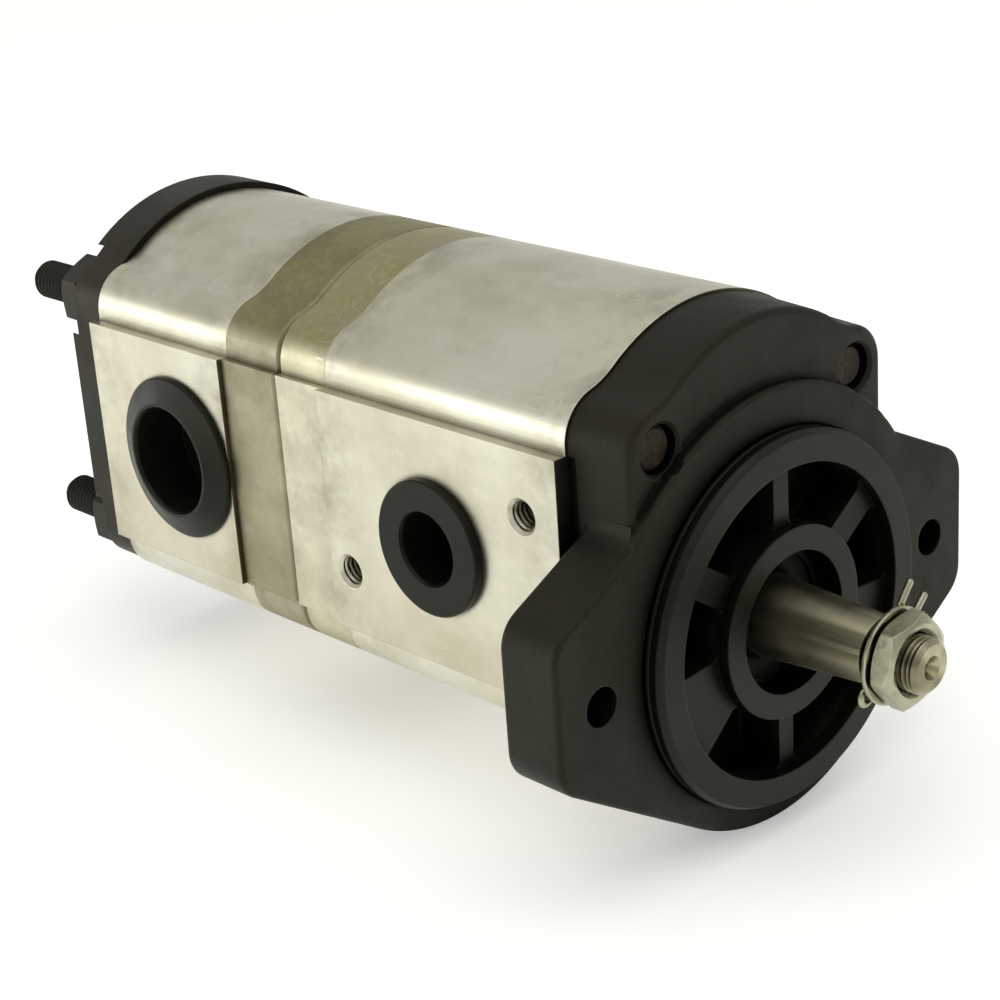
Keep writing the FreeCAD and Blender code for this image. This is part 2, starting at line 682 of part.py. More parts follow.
def spline_shape(x0, x1, minor_r, major_r, width):
    """Straight-sided spline on the drive axis."""
    keys = [turned(block(x0, x1, 0, major_r + OVERRUN, -width / 2, width / 2),
                   i * 360 / SPLINE_TEETH) for i in range(SPLINE_TEETH)]
    crown = joined(keys).common(rod_x(major_r, x0, x1))
    return joined([rod_x(minor_r, x0, x1), crown])


def threaded_rod(x0, x1, major_r, pitch, depth):
    """Rod with a ring groove at every pitch."""
    root_r = major_r - depth
    rise, fall = THREAD_RIDGE
    points = [(x0, 0), (x0, root_r)]
    for i in range(int((x1 - x0) / pitch)):
        start = x0 + i * pitch
        points += [(start + pitch * rise, major_r), (start + pitch * fall, major_r),
                   (start + pitch, root_r)]
    if x1 - points[-1][0] > STATION_TOLERANCE:
        points.append((x1, root_r))
    return spun(points + [(x1, 0)])


def gear_span(body_front_x, body_rear_x, block_length):
    """Front and rear face of the gear between its two bearing blocks."""
    return (body_rear_x + block_length + 2 * AXIAL_GAP,
            body_front_x - block_length - 2 * AXIAL_GAP)


def taper_r(x):
    """Radius of the shaft's taper at a station."""
    slope = (JOURNAL_R - TAPER_END_R) / (TAPER_END_X - TAPER_START_X)
    return JOURNAL_R - slope * (x - TAPER_START_X)


def key_disc():
    """Disc of the Woodruff key before its top is cut, standing on +Y."""
    centre_r = taper_r(KEY_X) - KEY_DEPTH + KEY_R
    return Part.makeCylinder(KEY_R, KEY_WIDTH, vec(KEY_X, centre_r, -KEY_WIDTH / 2))


def shaft_key():
    """Woodruff key in the taper."""
    room = block(KEY_X - 2 * KEY_R, KEY_X + 2 * KEY_R, 0, KEY_TOP_R, -KEY_R, KEY_R)
    return turned(key_disc().common(room), KEY_ANGLE)


def journal(x0, x1):
    """Plain shaft with broken edges at both ends."""
    return spun([(x0, 0), (x0, JOURNAL_R - SHAFT_BREAK), (x0 + SHAFT_BREAK, JOURNAL_R),
                 (x1 - SHAFT_BREAK, JOURNAL_R), (x1, JOURNAL_R - SHAFT_BREAK), (x1, 0)])


def front_drive_gear():
    """Front drive gear and its shaft: taper and thread in front, spline behind."""
    x0, x1 = gear_span(JOINT_1_X, JOINT_2_X, FRONT_BLOCK)
    teeth = gear_prism(x0, x1, FIRST_TOOTH)
    shaft = spun([(SPLINE_FRONT_X, 0), (SPLINE_FRONT_X, JOURNAL_R - SHAFT_BREAK),
                  (SPLINE_FRONT_X + SHAFT_BREAK, JOURNAL_R), (TAPER_START_X, JOURNAL_R),
                  (TAPER_END_X, TAPER_END_R), (TAPER_END_X, 0)])
    chamfer_x = SHAFT_END_X - SHAFT_END_CHAMFER
    thread = threaded_rod(TAPER_END_X, chamfer_x, THREAD_R, THREAD_PITCH, THREAD_DEPTH)
    tip = cone_x(THREAD_R, SHAFT_END_R, chamfer_x, SHAFT_END_X)
    spline = spline_shape(FRONT_SHAFT_END_X, SPLINE_FRONT_X, SPLINE_MINOR_R,
                          SPLINE_MAJOR_R, SPLINE_WIDTH)
    gear = joined([shaft, teeth, thread, tip, spline])
    cuts = [rod_x(CENTRE_DRILL_R, SHAFT_END_X - CENTRE_HOLE_DEPTH, SHAFT_END_X),
            cone_x(CENTRE_DRILL_R, CENTRE_HOLE_R, SHAFT_END_X - CENTRE_CONE_DEPTH, SHAFT_END_X),
            turned(key_disc(), KEY_ANGLE),
            turned(rod_y(SPLIT_PIN_HOLE_R, -2 * THREAD_R, 2 * THREAD_R, SPLIT_PIN_X, 0),
                   SPLIT_PIN_ANGLE)]
    return gear.cut(joined_tools(cuts))


def rear_drive_gear():
    """Rear drive gear, turned by the coupling sleeve."""
    x0, x1 = gear_span(JOINT_4_X, JOINT_5_X, REAR_BLOCK)
    spline = spline_shape(SPLINE_REAR_X, REAR_SHAFT_FRONT_X, SPLINE_MINOR_R,
                          SPLINE_MAJOR_R, SPLINE_WIDTH)
    return joined([journal(JOINT_5_X + SHAFT_END_GAP, SPLINE_REAR_X),
                   gear_prism(x0, x1, FIRST_TOOTH), spline])


def driven_gear(body_front_x, body_rear_x, block_length):
    """Driven gear with a plain journal at each end."""
    x0, x1 = gear_span(body_front_x, body_rear_x, block_length)
    shaft = journal(body_rear_x + SHAFT_END_GAP, body_front_x - SHAFT_END_GAP)
    gear = joined([shaft, gear_prism(x0, x1, FIRST_TOOTH + 180 + 180 / TEETH)])
    gear.translate(vec(0, 0, DRIVEN_Z))
    return gear


def coupling_sleeve():
    """Sleeve whose inner spline joins both drive shafts."""
    room = spline_shape(SLEEVE_X[0] - OVERRUN, SLEEVE_X[1] + OVERRUN, SPLINE_MINOR_R + SPLINE_GAP,
                        SPLINE_MAJOR_R + SPLINE_GAP, SPLINE_WIDTH + 2 * SPLINE_GAP)
    sleeve = rod_x(SLEEVE_R, *SLEEVE_X)
    sleeve = sleeve.makeChamfer(SLEEVE_CHAMFER, rim_edges(sleeve, SLEEVE_X[0])
                                + rim_edges(sleeve, SLEEVE_X[1]))
    return sleeve.cut(room)


# -------------------------------------------------------------------- bearings

def bearing_block(x0, x1, back_x):
    """Figure-eight block with a bush bore on each axis and a seal groove behind."""
    body = figure_eight(BLOCK_R, x0, x1)
    cuts = [rod_x(BUSH_R, x0, x1), rod_x(BUSH_R, x0, x1, z=DRIVEN_Z),
            balance_seal(back_x, x0)]
    return body.cut(joined_tools(cuts))


def balance_seal(back_x, x0):
    """Eight-shaped seal in the back of a block."""
    if abs(back_x - x0) < STATION_TOLERANCE:
        span = (back_x, back_x + BALANCE_DEPTH)
    else:
        span = (back_x - BALANCE_DEPTH, back_x)
    ring = figure_eight(BALANCE_OUTER_R, *span)
    return ring.cut(joined_tools([rod_x(BALANCE_INNER_R, *span),
                                  rod_x(BALANCE_INNER_R, *span, z=DRIVEN_Z)]))


def bush(x0, x1, z):
    """Plain bearing bush."""
    return rod_x(BUSH_R, x0, x1, z=z).cut(rod_x(BUSH_BORE_R, x0, x1, z=z))


def save_bearings(name, body_front_x, body_rear_x, length):
    """The two blocks of a section, with their bushes and seals."""
    front = (body_front_x - AXIAL_GAP - length, body_front_x - AXIAL_GAP)
    rear = (body_rear_x + AXIAL_GAP, body_rear_x + AXIAL_GAP + length)
    for place, span, back_x in (("front", front, front[1]), ("rear", rear, rear[0])):
        label = name + "_" + place
        save(label + "_bearing_block", bearing_block(span[0], span[1], back_x))
        save(label + "_drive_bush", bush(span[0], span[1], 0.0))
        save(label + "_driven_bush", bush(span[0], span[1], DRIVEN_Z))
        save(label + "_balance_seal", balance_seal(back_x, span[0]))


# ------------------------------------------------------------- seals and fixings

def shaft_seal():
    """Lip seal pressed into the hub."""
    return spun(list(LIP_SEAL))


def seal_retaining_ring():
    """Open spring ring in front of the shaft seal."""
    ring = rod_x(RETAINER_GROOVE_R - RETAINER_FIT, *RETAINER_X)
    ring = ring.cut(rod_x(RETAINER_INNER_R, *RETAINER_X))
    return ring.cut(block(*RETAINER_X, -RETAINER_GAP, RETAINER_GAP, -RETAINER_GROOVE_R, 0))


def pilot_o_ring():
    """Rubber ring in the groove at the foot of the pilot."""
    return Part.makeTorus(O_RING_CENTRE_R, O_RING_SECTION_R, vec(O_RING_CENTRE_X, 0, 0),
                          vec(1, 0, 0))


def tie_stud(y, z, upper):
    """Long stud, threaded at the nut end, with a rounded tip."""
    front = UPPER_STUD_FRONT_X if upper else LOWER_STUD_FRONT_X
    thread_end = NUT_SEAT_X + STUD_PITCH
    tip = [(STUD_END_X, 0)] + [(STUD_END_X + along, STUD_R - cut) for along, cut in STUD_TIP]
    thread_start = tip[-1][0]
    thread = threaded_rod(thread_start, thread_end, STUD_R, STUD_PITCH, STUD_THREAD_DEPTH)
    shank = spun([(thread_end, 0), (thread_end, STUD_R), (front - STUD_CHAMFER, STUD_R),
                  (front, STUD_R - STUD_CHAMFER), (front, 0)])
    stud = joined([shank, thread, spun(tip + [(thread_start, 0)])])
    stud.translate(vec(0, y, z))
    return stud


def hex_nut(x0, x1, flats, thread_r, corner_angle, chamfer, sink):
    """Hexagon nut on the drive axis: faces chamfered outside, thread countersunk."""
    corner_r = flats / math.sqrt(3)
    corners = [polar(x0, corner_r, math.radians(corner_angle + 60 * i)) for i in range(7)]
    prism = Part.Face(Part.makePolygon(corners)).extrude(vec(x1 - x0, 0, 0))
    face_r = flats / 2 - chamfer
    slope = (corner_r - face_r) * math.tan(math.radians(30))
    turning = spun([(x0, 0), (x0, face_r), (x0 + slope, corner_r), (x1 - slope, corner_r),
                    (x1, face_r), (x1, 0)])
    bore_r = thread_r + THREAD_GAP
    bore = spun([(x0, 0), (x0, bore_r + sink), (x0 + sink, bore_r), (x1 - sink, bore_r),
                 (x1, bore_r + sink), (x1, 0)])
    return prism.common(turning).cut(bore)


def stud_nut(y, z):
    """Nut on the rear end of a tie stud."""
    nut = hex_nut(NUT_SEAT_X - NUT_HEIGHT, NUT_SEAT_X, NUT_FLATS, STUD_R, NUT_CORNER,
                  NUT_CHAMFER, NUT_SINK)
    nut.translate(vec(0, y, z))
    return nut


def shaft_nut():
    """Nut that holds a hub on the shaft's taper."""
    seat = WASHER_X + WASHER_THICK
    return hex_nut(seat, seat + SHAFT_NUT_HEIGHT, SHAFT_NUT_FLATS, THREAD_R, SHAFT_NUT_CORNER,
                   SHAFT_NUT_CHAMFER, SHAFT_NUT_SINK)


def shaft_washer():
    """Plain washer under the shaft nut."""
    end = WASHER_X + WASHER_THICK
    washer = rod_x(WASHER_R, WASHER_X, end)
    washer = washer.makeFillet(WASHER_EDGE_R,
                               rim_edges(washer, WASHER_X) + rim_edges(washer, end))
    return washer.cut(rod_x(WASHER_HOLE_R, WASHER_X, end))


def rod_between(start, end, radius):
    """Cylinder from one point to another."""
    way = end - start
    return Part.makeCylinder(radius, way.Length, start, way)


def split_pin():
    """Split pin through the shaft end, with its eye and two spread legs."""
    pieces = [rod_y(SPLIT_PIN_R, SPLIT_PIN_EYE_Y + SPLIT_PIN_EYE_R, SPLIT_PIN_SHANK_END,
                    SPLIT_PIN_X, 0),
              Part.makeTorus(SPLIT_PIN_EYE_R, SPLIT_PIN_WIRE_R,
                             vec(SPLIT_PIN_X, SPLIT_PIN_EYE_Y, 0), vec(1, 0, 0))]
    for side in (-1, 1):
        path = [vec(SPLIT_PIN_X, along, side * off) for along, off in SPLIT_PIN_LEG]
        pieces += [rod_between(a, b, SPLIT_PIN_WIRE_R) for a, b in zip(path, path[1:])]
        pieces += [Part.makeSphere(SPLIT_PIN_WIRE_R, point) for point in path[1:]]
    return turned(joined(pieces), SPLIT_PIN_ANGLE)


# ----------------------------------------------------------------------- plugs

def cup_plug(side, x, bore_r, flange_r, rim_r, edge, rise):
    """Hollow transport plug: a cup in the port with a flange on the pad."""
    outer_r = bore_r - PLUG_GAP
    floor = PAD_Y - PLUG_DEPTH
    top = PAD_Y + edge
    face = top + rise
    plug = spun([(floor, 0), (floor, outer_r - PLUG_NOSE), (floor + PLUG_NOSE, outer_r),
                 (PAD_Y, outer_r), (PAD_Y, flange_r), (top - PLUG_BREAK, flange_r),
                 (top, flange_r - PLUG_BREAK), (face, rim_r + PLUG_LIP), (face, rim_r),
                 (face - PLUG_NOSE, rim_r - PLUG_BREAK),
                 (floor + PLUG_FLOOR, rim_r - PLUG_DRAFT), (floor + PLUG_FLOOR, 0)])
    return facing(plug, side, x, MID_Z)


# ------------------------------------------------------------------------ write

save("front_cover", front_cover())
save("pilot_o_ring", pilot_o_ring())
save("shaft_seal", shaft_seal())
save("seal_retaining_ring", seal_retaining_ring())
save("front_body", front_body())
save("front_plate", front_plate())
save("rear_plate", rear_plate())
save("rear_body", rear_body())
save("rear_cover", rear_cover())

for label, (stud_y, stud_z, is_upper) in zip(
        ("upper_port_side", "upper_far_side", "lower_port_side", "lower_far_side"), stud_places()):
    save("tie_stud_" + label, tie_stud(stud_y, stud_z, is_upper))
    save("stud_nut_" + label, stud_nut(stud_y, stud_z))

SEALS = (("front_cover_seal", JOINT_1_X - SEAL_DEPTH, JOINT_1_X),
         ("front_body_rear_seal", JOINT_2_X, JOINT_2_X + SEAL_DEPTH),
         ("plate_joint_seal", JOINT_3_X - SEAL_DEPTH, JOINT_3_X),
         ("rear_body_front_seal", JOINT_4_X - SEAL_DEPTH, JOINT_4_X),
         ("rear_cover_seal", JOINT_5_X, JOINT_5_X + SEAL_DEPTH))
for label, start_x, end_x in SEALS:
    save(label, seal_ring(start_x, end_x))

DOWELS = (("dowels_front_cover", JOINT_1_X), ("dowels_front_body", JOINT_2_X),
          ("dowels_plates", JOINT_3_X), ("dowels_rear_body", JOINT_4_X),
          ("dowels_rear_cover", JOINT_5_X))
for label, station in DOWELS:
    save(label, Part.makeCompound(dowel_rods(DOWEL_R, station, DOWEL_HALF - DOWEL_END_GAP)))

save_bearings("front", JOINT_1_X, JOINT_2_X, FRONT_BLOCK)
save_bearings("rear", JOINT_4_X, JOINT_5_X, REAR_BLOCK)

save("front_drive_gear", front_drive_gear())
save("shaft_key", shaft_key())
save("shaft_washer", shaft_washer())
save("shaft_nut", shaft_nut())
save("split_pin", split_pin())
save("coupling_sleeve", coupling_sleeve())
save("rear_drive_gear", rear_drive_gear())
save("front_driven_gear", driven_gear(JOINT_1_X, JOINT_2_X, FRONT_BLOCK))
save("rear_driven_gear", driven_gear(JOINT_4_X, JOINT_5_X, REAR_BLOCK))

for label, *sizes in PLUGS:
    save(label, cup_plug(*sizes))
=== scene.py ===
"""Looks of the tandem gear pump: materials, cut threads, floor, lights and camera."""

import json
import math

import bmesh
import bpy
from mathutils import Matrix, Vector


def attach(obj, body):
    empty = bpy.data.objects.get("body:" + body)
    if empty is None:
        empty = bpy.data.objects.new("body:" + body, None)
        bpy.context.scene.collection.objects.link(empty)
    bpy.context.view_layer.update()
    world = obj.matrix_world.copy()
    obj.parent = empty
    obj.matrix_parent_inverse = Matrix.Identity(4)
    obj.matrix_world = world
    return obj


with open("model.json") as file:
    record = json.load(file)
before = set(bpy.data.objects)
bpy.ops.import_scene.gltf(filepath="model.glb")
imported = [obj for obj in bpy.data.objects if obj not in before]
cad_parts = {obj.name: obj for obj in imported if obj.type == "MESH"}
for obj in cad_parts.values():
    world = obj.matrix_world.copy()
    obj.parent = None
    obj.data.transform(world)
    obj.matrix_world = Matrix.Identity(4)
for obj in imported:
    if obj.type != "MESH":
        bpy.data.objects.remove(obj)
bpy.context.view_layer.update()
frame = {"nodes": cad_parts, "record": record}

MM = 0.001
RECORD = frame["record"]
MOUNTS = {mount["name"]: mount for mount in RECORD["mounts"]}

# X of the joints between the sections, from the front cover to the rear cover.
JOINTS = tuple(x * MM for x in (-18.8, -92.6, -108.8, -128.0, -179.2))


# ------------------------------------------------------------------ node helpers

# Colour sockets of the mix node, which carries the same names for every data type.
MIX_FIRST, MIX_SECOND, MIX_RESULT = 6, 7, 2
# Most of a noise texture lies between these two values.
NOISE_LOW, NOISE_HIGH = 0.3, 0.7
BEVEL_SAMPLES = 4
CREVICE_SAMPLES = 6


class Shader:
    """A material under construction."""

    def __init__(self, name, **values):
        self.material = bpy.data.materials.new(name)
        self.material.use_nodes = True
        self.tree = self.material.node_tree
        self.surface = self.tree.nodes["Principled BSDF"]
        for key, value in values.items():
            self.surface.inputs[key.replace("_", " ")].default_value = value
        self.coords = self.add("ShaderNodeTexCoord").outputs["Object"]

    def add(self, kind, **settings):
        node = self.tree.nodes.new(kind)
        for key, value in settings.items():
            setattr(node, key, value)
        return node

    def feed(self, socket, value):
        """Links an output, or sets a plain value."""
        if isinstance(value, bpy.types.NodeSocket):
            self.tree.links.new(value, socket)
        else:
            socket.default_value = value

    def stretched(self, scale):
        """Object coordinates, scaled on each axis."""
        node = self.add("ShaderNodeMapping")
        self.feed(node.inputs["Vector"], self.coords)
        node.inputs["Scale"].default_value = scale
        return node.outputs["Vector"]

    def noise(self, scale, detail=3.0, rough=0.55, stretch=None):
        node = self.add("ShaderNodeTexNoise")
        self.feed(node.inputs["Vector"], self.stretched(stretch) if stretch else self.coords)
        node.inputs["Scale"].default_value = scale
        node.inputs["Detail"].default_value = detail
        node.inputs["Roughness"].default_value = rough
        return node.outputs["Fac"]

    def ramp(self, value, low, high, start=0.0, end=1.0):
        """Value from start to end as the input goes from low to high."""
        node = self.add("ShaderNodeMapRange")
        self.feed(node.inputs["Value"], value)
        for key, number in (("From Min", low), ("From Max", high),
                            ("To Min", start), ("To Max", end)):
            node.inputs[key].default_value = number
        return node.outputs["Result"]

    def vary(self, noise, least, most):
        """Noise spread over a span of values, such as a roughness."""
        return self.ramp(noise, NOISE_LOW, NOISE_HIGH, least, most)

    def mix(self, amount, first, second):
        """First colour where the amount is 0, second where it is 1."""
        node = self.add("ShaderNodeMix", data_type="RGBA")
        self.feed(node.inputs["Factor"], amount)
        for index, value in ((MIX_FIRST, first), (MIX_SECOND, second)):
            self.feed(node.inputs[index],
                      (*value, 1.0) if isinstance(value, tuple) else value)
        return node.outputs[MIX_RESULT]

    def patch(self, under, over, noise, low, high, amount=1.0):
        """Second colour in patches on the first, none at noise low and most at high."""
        return self.mix(self.ramp(noise, low, high, 0.0, amount), under, over)

    def cover(self, under, over, mask, amount):
        """Second colour over the first where the mask is 1, as strong as the amount."""
        return self.mix(self.both(mask, amount), under, over)

    def calc(self, operation, first, second=0.0):
        node = self.add("ShaderNodeMath", operation=operation)
        self.feed(node.inputs[0], first)
        self.feed(node.inputs[1], second)
        return node.outputs[0]

    def both(self, first, second):
        """Product of two masks or of a mask and a number."""
        return self.calc("MULTIPLY", first, second)

    def split(self, vector, axis):
        node = self.add("ShaderNodeSeparateXYZ")
        self.feed(node.inputs[0], vector)
        return node.outputs[axis]

    def axis(self, name):
        """Object coordinate along one axis."""
        return self.split(self.coords, name)

    def bevel(self, radius):
        """Normal with the edges rounded off."""
        node = self.add("ShaderNodeBevel", samples=BEVEL_SAMPLES)
        node.inputs["Radius"].default_value = radius
        return node.outputs["Normal"]

    def face_normal(self):
        return self.add("ShaderNodeNewGeometry").outputs["Normal"]

    def edge_mask(self, radius):
        """1 close to an edge, 0 on a flat or smooth surface."""
        dot = self.add("ShaderNodeVectorMath", operation="DOT_PRODUCT")
        self.feed(dot.inputs[0], self.bevel(radius))
        self.feed(dot.inputs[1], self.face_normal())
        return self.ramp(dot.outputs["Value"], 0.985, 0.86)

    def crevice(self, reach, shallow=0.82, deep=0.45):
        """1 deep in a corner or gap, 0 on an open surface, from ambient occlusion; what is laid
        over it is painted shade.
        """
        node = self.add("ShaderNodeAmbientOcclusion", samples=CREVICE_SAMPLES)
        node.inputs["Distance"].default_value = reach
        return self.ramp(node.outputs["AO"], shallow, deep)

    def bump(self, height, strength, distance, normal):
        """Relief laid over the normal that is handed in."""
        node = self.add("ShaderNodeBump")
        node.inputs["Strength"].default_value = strength
        node.inputs["Distance"].default_value = distance
        self.feed(node.inputs["Height"], height)
        self.feed(node.inputs["Normal"], normal)
        return node.outputs["Normal"]

    def facing(self, axis, low=0.8, high=0.95):
        """1 on faces square to the axis, 0 on those along it."""
        return self.ramp(self.calc("ABSOLUTE", self.split(self.face_normal(), axis)), low, high)

    def near_stations(self, stations, reach):
        """1 at each station along X, fading to 0 at the reach."""
        x = self.axis("X")
        near = 0.0
        for station in stations:
            distance = self.calc("ABSOLUTE", self.calc("SUBTRACT", x, station))
            near = self.calc("MAXIMUM", self.ramp(distance, reach, 0.0), near)
        return near

    def finish(self, color, rough=None, normal=None, specular=None):
        """Feeds the surface and hands over the material."""
        for key, value in (("Base Color", color), ("Roughness", rough), ("Normal", normal),
                           ("Specular IOR Level", specular)):
            if value is not None:
                self.feed(self.surface.inputs[key], value)
        return self.material


def shade(color, factor):
    """A darker or lighter tone of a colour."""
    return tuple(channel * factor for channel in color)


# ---------------------------------------------------------------- black castings

WARM = (1.0, 0.99, 0.74, 1.0)          # tint of every black part's shine
CAST_SHINE = 0.23
POCKET_SHINE = 0.01
POCKET_REACH = 14 * MM
# Painted shade: pockets and corners of the castings go to this black, and their shine goes down
# to POCKET_SHINE.
PAINTED_POCKET_SHADE = (0.0008, 0.0008, 0.0007)
CAST_BASE = (0.0052, 0.0051, 0.0032)
CAST_BROWN = (0.0120, 0.0096, 0.0060)
RUST_SPECK = (0.050, 0.036, 0.025)
# Lighter edges of the castings: partly wear, partly painted highlight.
WORN_AND_HIGHLIT_EDGE = (0.110, 0.105, 0.085)
WORN_AND_HIGHLIT_EDGE_WIDTH = 0.5 * MM
MACHINED_DARK = (0.0022, 0.0022, 0.0018)
MACHINED_LIGHT = (0.0045, 0.0045, 0.0036)
MACHINED_X = (1.0 * MM, 1.4 * MM)      # the front cover is cast behind this, turned before it
CAST_ROUNDING = 0.6 * MM
GRAIN_DEPTH = 0.22 * MM


def cast_color(s, base, brown, grain):
    """Black casting colour: brown patches, fine grain, a few rusty specks, and lighter edges,
    partly wear and partly painted highlight.
    """
    color = s.patch(base, brown, s.noise(38, 4.0), 0.42, 0.72, 0.7)
    color = s.patch(color, shade(base, 2.4), grain, 0.38, 0.7, 0.35)
    color = s.patch(color, RUST_SPECK, s.noise(420, 2.0), 0.70, 0.78, 0.4)
    edge_patches = s.ramp(s.noise(160), 0.36, 0.62, 0.1, 0.5)
    return s.mix(s.both(s.edge_mask(WORN_AND_HIGHLIT_EDGE_WIDTH), edge_patches), color, WORN_AND_HIGHLIT_EDGE)


def cast_depth(s, color):
    """Painted shade: the casting's colour goes to black and its shine fades out in its pockets
    and corners, where shade falls.
    """
    deep = s.crevice(POCKET_REACH, 0.80, 0.35)
    return s.mix(deep, color, PAINTED_POCKET_SHADE), s.ramp(deep, 0.0, 1.0, CAST_SHINE, POCKET_SHINE)


def cast_relief(s, grain, strength, fine_scale, fine_strength, fine_depth):
    """Rounded edges with a coarse and a fine sand texture."""
    normal = s.bump(grain, strength, GRAIN_DEPTH, s.bevel(CAST_ROUNDING))
    return s.bump(s.noise(fine_scale, 2.0), fine_strength, fine_depth, normal)


def cast_black(name, base, brown, rough):
    """Black satin casting: fine sand texture, faint brown patches, lighter edges (partly wear,
    partly painted highlight), painted shade in pockets.
    """
    s = Shader(name, Specular_Tint=WARM)
    grain = s.noise(900, 3.0)
    shine = s.vary(s.noise(70, 4.0), rough - 0.07, rough + 0.09)
    normal = cast_relief(s, grain, 0.32, 2600, 0.18, 0.08 * MM)
    color, specular = cast_depth(s, cast_color(s, base, brown, grain))
    return s.finish(color, shine, normal, specular)


def front_cover_iron(name):
    """The front cover's casting, with smoother machined pilot, ring and hub faces."""
    s = Shader(name, Specular_Tint=WARM)
    x = s.axis("X")
    machined = s.ramp(x, *MACHINED_X)
    grain = s.noise(850, 3.0)
    cast = cast_color(s, CAST_BASE, CAST_BROWN, grain)
    rings = s.noise(60, 2.0, stretch=(40.0, 1.0, 1.0))
    smooth = s.patch(MACHINED_DARK, MACHINED_LIGHT, rings, NOISE_LOW, NOISE_HIGH)
    shine = s.mix(machined, s.vary(s.noise(70, 4.0), 0.44, 0.62),
                  s.vary(s.noise(55, 4.0), 0.36, 0.48))
    height = s.both(grain, s.ramp(x, *MACHINED_X, 1.0, 0.15))
    normal = cast_relief(s, height, 0.34, 2400, 0.12, 0.07 * MM)
    color, specular = cast_depth(s, s.mix(machined, cast, smooth))
    return s.finish(color, shine, normal, specular)


# --------------------------------------------------------------------- aluminium

# Colours of scratches, and of the lighter edges, which are partly wear and partly painted
# highlight.
SCRATCH_AND_EDGE_HIGHLIGHT = (0.90, 0.87, 0.76)
DULL_SCRATCH_AND_EDGE_HIGHLIGHT = (0.6, 0.58, 0.44)
# Painted shade in corners, on faces square to X and deep in hollows, then how far the corner
# and hollow shade reach.
CORNER_SHADE = (0.060, 0.055, 0.028)
END_FACE_SHADE = (0.060, 0.048, 0.026)
HOLLOW_SHADE = (0.11, 0.10, 0.05)
CORNER_SHADE_REACH = 1.8 * MM
HOLLOW_SHADE_REACH = 12 * MM
END_DIRT_REACH = 17 * MM
PAD_Y = (40.9 * MM, 41.4 * MM)         # as-drawn skin inside this, milled pads outside it
PAD_DARKENING_Z = (16 * MM, -14 * MM)      # the pads get darker on the way down
# Width of the lighter edges: partly wear, partly painted highlight.
BRIGHT_EDGE = 0.25 * MM
MILLED_ROUNDING = 0.45 * MM
LENGTHWISE = (0.012, 1.0, 1.0)         # stretch that draws a noise out along X


def drawn_skin(s, clouds, skin, side_highlight):
    """Dull, mottled skin as it leaves the die, with a painted highlight that makes it lighter
    at the sides.
    """
    dull = s.patch(skin, shade(skin, 0.75), clouds, NOISE_LOW, NOISE_HIGH)
    dull = s.patch(dull, shade(skin, 1.35), s.noise(620, 4.0), 0.45, 0.72, 0.4)
    return s.mix(s.facing("Y", 0.74, 0.97), dull, side_highlight)


def handling_marks(s, color, stain, pad, ends):
    """Smudges all over, dirt beside the ends and the pads darker towards the bottom."""
    smudges = s.noise(21, 6.0, 0.68, stretch=(0.7, 1.0, 1.0))
    color = s.patch(color, shade(stain, 0.82), smudges, 0.50, 0.68, 0.6)
    dirt = s.both(s.near_stations(ends, END_DIRT_REACH),
                  s.ramp(s.noise(75, 5.0, 0.65), 0.40, 0.64, 0.0, 0.75))
    color = s.mix(dirt, color, shade(stain, 0.62))
    low = s.both(s.ramp(s.axis("Z"), *PAD_DARKENING_Z, 0.0, 0.75),
                 s.both(pad, s.ramp(s.noise(40, 3.0), 0.25, 0.6)))
    return s.mix(low, color, shade(stain, 0.92))


def scratch_marks(s):
    """1 in thin, broken scratches."""
    wander = s.noise(300, 1.0, stretch=(0.35, 0.5, 1.0))
    thin = s.ramp(s.calc("ABSOLUTE", s.calc("SUBTRACT", wander, 0.5)), 0.006, 0.0)
    return s.both(thin, s.ramp(s.noise(48), 0.56, 0.64))


